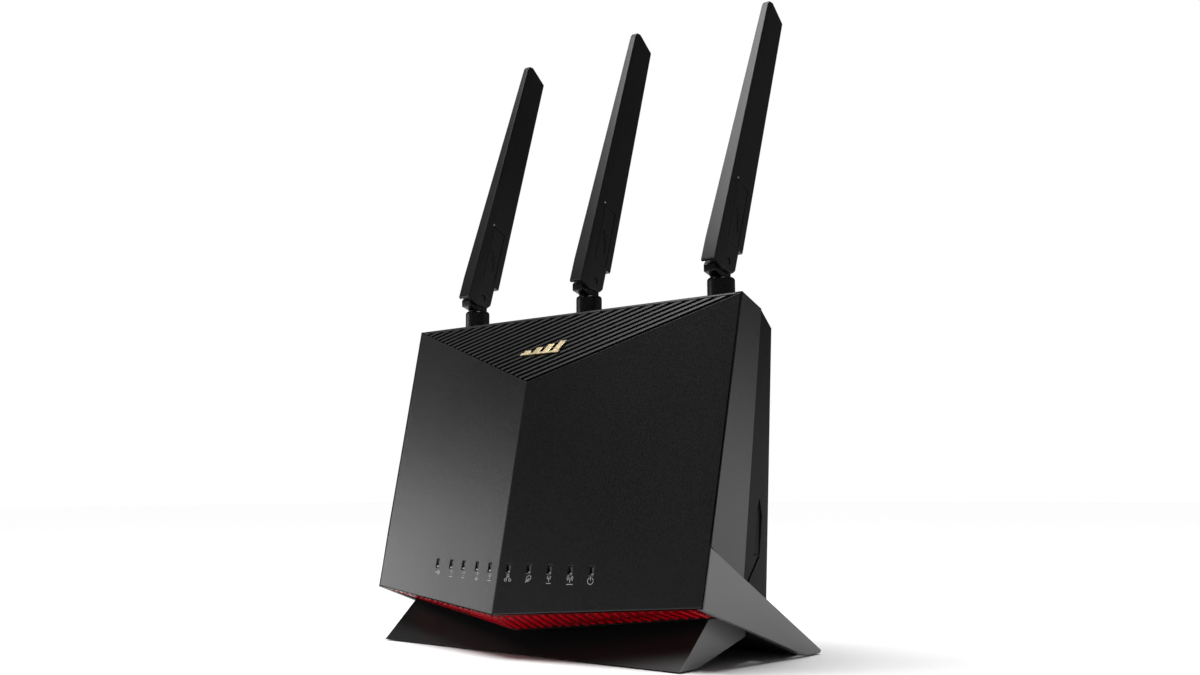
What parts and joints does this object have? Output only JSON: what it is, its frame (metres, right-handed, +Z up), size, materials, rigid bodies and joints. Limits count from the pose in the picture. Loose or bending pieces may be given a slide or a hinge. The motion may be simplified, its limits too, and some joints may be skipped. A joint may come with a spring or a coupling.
{
  "type": "wireless router",
  "caption": "Upright wireless router with a faceted black front, ribbed top facet, red accent, splayed stand, rear ports and tilting paddle antennas.",
  "frame": {"origin": "centre of the bounding box's bottom face, on the surface that the router stands on", "axes": "+Z up, front panel towards -Y, +X to the right seen from the front"},
  "size_m": [0.224, 0.1314, 0.3381],
  "materials": {
    "front_black": "fine matte texture",
    "shell_black": "matte",
    "grille_black": "satin",
    "stand_grey": "fine matte texture",
    "accent_red": "gloss",
    "emblem_gold": "satin gold plating",
    "antenna_black": "satin",
    "rubber": "matte",
    "board_green": "solder mask",
    "aluminium": "satin",
    "tin": "satin",
    "brass": "satin",
    "jack_black": "matte",
    "jack_blue": "matte",
    "jack_yellow": "matte",
    "button_grey": "satin",
    "clear": "clear diffusing",
    "steel": "satin"
  },
  "bodies": {
    "router": {"front_panel": "front_black", "top_grille": "grille_black", "emblem": "emblem_gold", "bezel": "shell_black", "rear_cover": "shell_black", "base_cover": "shell_black", "accent_strip": "accent_red", "front_foot": "stand_grey", "rear_foot": "stand_grey", "right_cheek": "stand_grey", "left_cheek": "stand_grey", "front_left_pad": "rubber", "rear_left_pad": "rubber", "upper_left_screw": "steel", "lower_left_screw": "steel", "front_right_pad": "rubber", "rear_right_pad": "rubber", "upper_right_screw": "steel", "lower_right_screw": "steel", "port_tray": "shell_black", "wan_jack": "jack_blue", "lan_jack_1": "jack_yellow", "lan_jack_2": "jack_yellow", "lan_jack_3": "jack_yellow", "usb_socket": "tin", "dc_inlet": "jack_black", "sim_holder": "tin", "main_board": "board_green", "heatsink": "aluminium", "shield_can": "tin", "led_board": "board_green", "led_light_guide": "clear", "left_antenna_socket": "brass", "left_coax_lead": "jack_black", "centre_antenna_socket": "brass", "centre_coax_lead": "jack_black", "right_antenna_socket": "brass", "right_coax_lead": "jack_black"},
    "left_antenna_base": {"left_antenna_barrel": "antenna_black", "left_antenna_knuckle": "antenna_black"},
    "left_antenna_blade": {"left_antenna_paddle": "antenna_black", "left_antenna_inlay": "antenna_black", "left_antenna_pin": "steel", "left_antenna_radiator": "board_green"},
    "centre_antenna_base": {"centre_antenna_barrel": "antenna_black", "centre_antenna_knuckle": "antenna_black"},
    "centre_antenna_blade": {"centre_antenna_paddle": "antenna_black", "centre_antenna_inlay": "antenna_black", "centre_antenna_pin": "steel", "centre_antenna_radiator": "board_green"},
    "right_antenna_base": {"right_antenna_barrel": "antenna_black", "right_antenna_knuckle": "antenna_black"},
    "right_antenna_blade": {"right_antenna_paddle": "antenna_black", "right_antenna_inlay": "antenna_black", "right_antenna_pin": "steel", "right_antenna_radiator": "board_green"},
    "power_button": {"power_button": "button_grey"},
    "wps_button": {"wps_button": "button_grey"},
    "reset_button": {"reset_button": "button_grey"},
    "sim_tray": {"sim_tray": "jack_black"}
  },
  "joints": [
    {"name": "left_antenna_swivel", "type": "hinge", "parent": "router", "child": "left_antenna_base", "pos_m": [-0.0845, 0.00569, 0.165], "axis": [0, 0, 1], "range_deg": [-180, 180]},
    {"name": "left_antenna_tilt", "type": "hinge", "parent": "left_antenna_base", "child": "left_antenna_blade", "pos_m": [-0.0845, 0.00569, 0.1882], "axis": [-1, 0, 0], "range_deg": [-17, 73]},
    {"name": "centre_antenna_swivel", "type": "hinge", "parent": "router", "child": "centre_antenna_base", "pos_m": [0, 0.00569, 0.165], "axis": [0, 0, 1], "range_deg": [-180, 180]},
    {"name": "centre_antenna_tilt", "type": "hinge", "parent": "centre_antenna_base", "child": "centre_antenna_blade", "pos_m": [0, 0.00569, 0.1882], "axis": [-1, 0, 0], "range_deg": [-17, 73]},
    {"name": "right_antenna_swivel", "type": "hinge", "parent": "router", "child": "right_antenna_base", "pos_m": [0.0845, 0.00569, 0.165], "axis": [0, 0, 1], "range_deg": [-180, 180]},
    {"name": "right_antenna_tilt", "type": "hinge", "parent": "right_antenna_base", "child": "right_antenna_blade", "pos_m": [0.0845, 0.00569, 0.1882], "axis": [-1, 0, 0], "range_deg": [-19.5, 70.5]},
    {"name": "power_button_press", "type": "slide", "parent": "router", "child": "power_button", "axis": [0, -1, 0], "range_m": [0, 0.002], "stiffness_N_per_m": 350, "springref_m": -0.0004},
    {"name": "wps_button_press", "type": "slide", "parent": "router", "child": "wps_button", "axis": [0, -1, 0], "range_m": [0, 0.0015], "stiffness_N_per_m": 300, "springref_m": -0.0004},
    {"name": "reset_button_press", "type": "slide", "parent": "router", "child": "reset_button", "axis": [0, -1, 0], "range_m": [0, 0.001], "stiffness_N_per_m": 250, "springref_m": -0.0004},
    {"name": "sim_tray_slide", "type": "slide", "parent": "router", "child": "sim_tray", "axis": [0, 1, 0], "range_m": [0, 0.02]}
  ]
}
